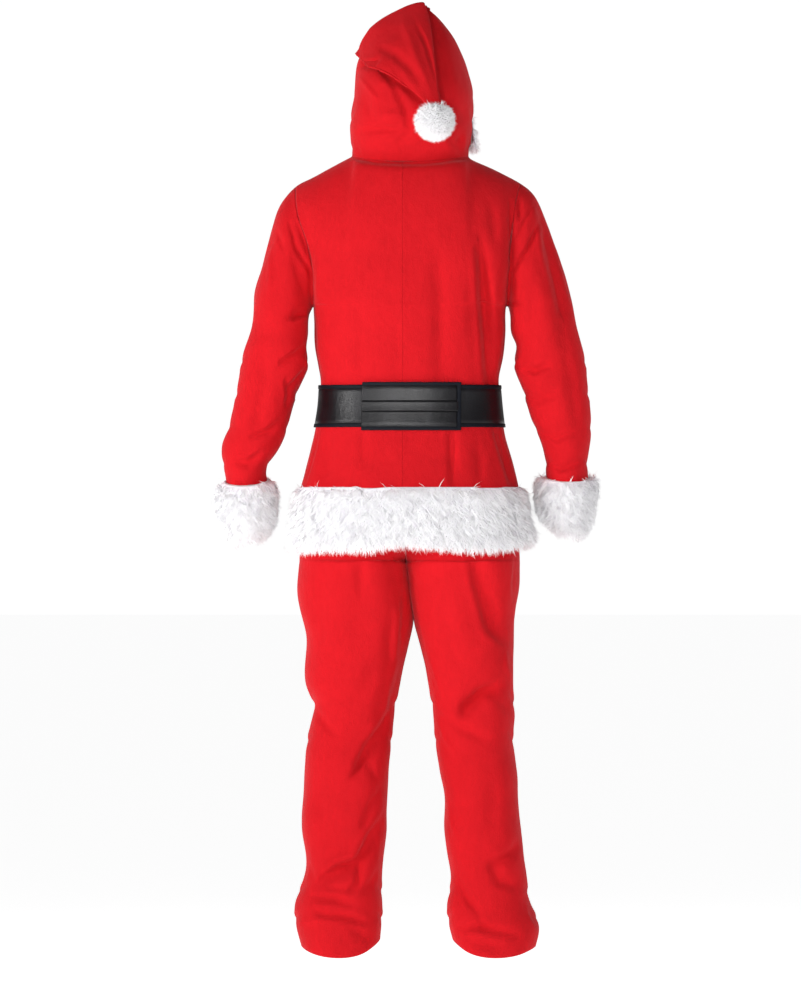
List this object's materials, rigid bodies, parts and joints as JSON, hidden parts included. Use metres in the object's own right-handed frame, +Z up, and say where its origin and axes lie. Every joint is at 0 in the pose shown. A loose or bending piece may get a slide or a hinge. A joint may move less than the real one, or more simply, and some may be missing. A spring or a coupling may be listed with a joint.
{
  "type": "santa suit",
  "caption": "Red fleece hooded jacket with white pile trims, wide black belt and loose trousers, in worn form.",
  "frame": {"origin": "midpoint between the shoulders inside the jacket, level with the wearer's neck base", "axes": "+Z up; the suit's back faces -Y and its front +Y; +X to the right seen from behind"},
  "size_m": [0.729, 0.3497, 1.814],
  "materials": {
    "red_fleece": "matte",
    "white_pile": "matte",
    "black_vinyl": "satin",
    "black_binding": "matte"
  },
  "bodies": {
    "root": {"back_left": "red_fleece", "back_right": "red_fleece", "front_left": "red_fleece", "front_right": "red_fleece", "sleeve_left": "red_fleece", "sleeve_right": "red_fleece", "hood_left": "red_fleece", "hood_right": "red_fleece", "hood_point": "red_fleece", "leg_back_left": "red_fleece", "leg_back_right": "red_fleece", "leg_front_left": "red_fleece", "leg_front_right": "red_fleece", "waistband": "red_fleece", "cuff_left": "white_pile", "cuff_right": "white_pile", "hem_fur": "white_pile", "hood_fur": "white_pile", "pompom": "white_pile", "belt_strap": "black_vinyl", "belt_end": "black_vinyl", "belt_channel": "black_vinyl", "belt_binding_top": "black_binding", "belt_binding_bottom": "black_binding", "belt_end_binding": "black_binding"}
  },
  "joints": []
}
